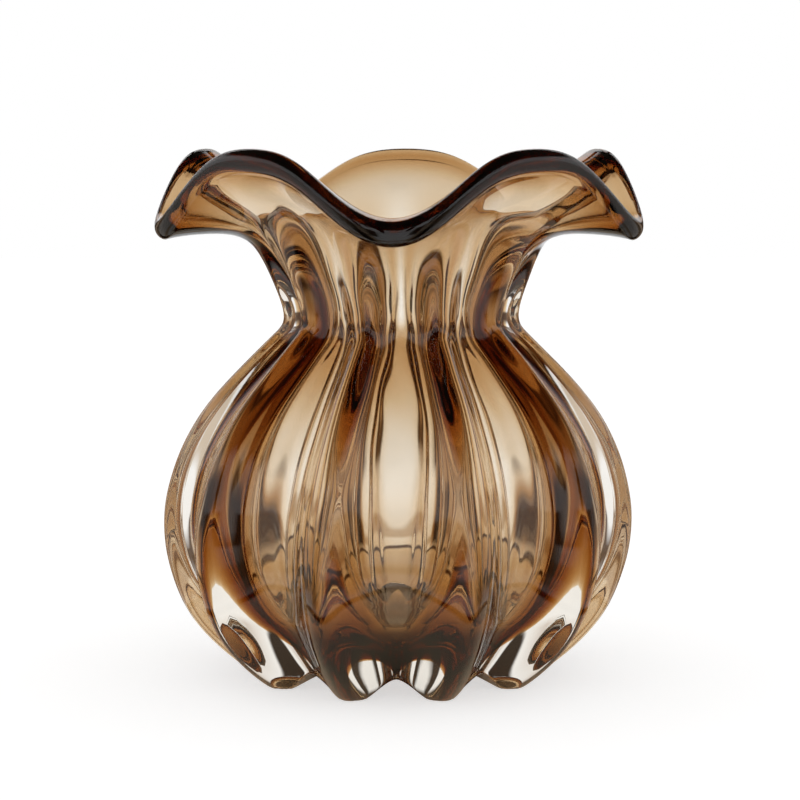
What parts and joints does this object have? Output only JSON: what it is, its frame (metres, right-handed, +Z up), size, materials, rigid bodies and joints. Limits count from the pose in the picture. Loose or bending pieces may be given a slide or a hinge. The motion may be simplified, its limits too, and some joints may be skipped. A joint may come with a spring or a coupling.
{
  "type": "glass vase",
  "caption": "Round-bellied flower vase of clear glass over brown glass, with ribs that end in feet, a narrow neck and a flared ruffled lip.",
  "frame": {"origin": "middle of the bounding box on the plane that the feet rest on; the vase's own axis stands 3.5 mm behind it, at Y = +0.0035 m, because the ruffle reaches further to the front than to the back", "axes": "+Z up along the vase's axis, -Y to the front, where a dip of the lip and a flute face the viewer, +X to the viewer's right"},
  "size_m": [0.1632, 0.1612, 0.1797],
  "materials": {
    "clear_glass": "fire-polished clear glass, hand formed, faintly rippled",
    "brown_glass": "fire-polished brown glass, amber where thin and near black where deep"
  },
  "bodies": {
    "root": {"clear_casing": "clear_glass", "brown_lining": "brown_glass"}
  },
  "joints": []
}
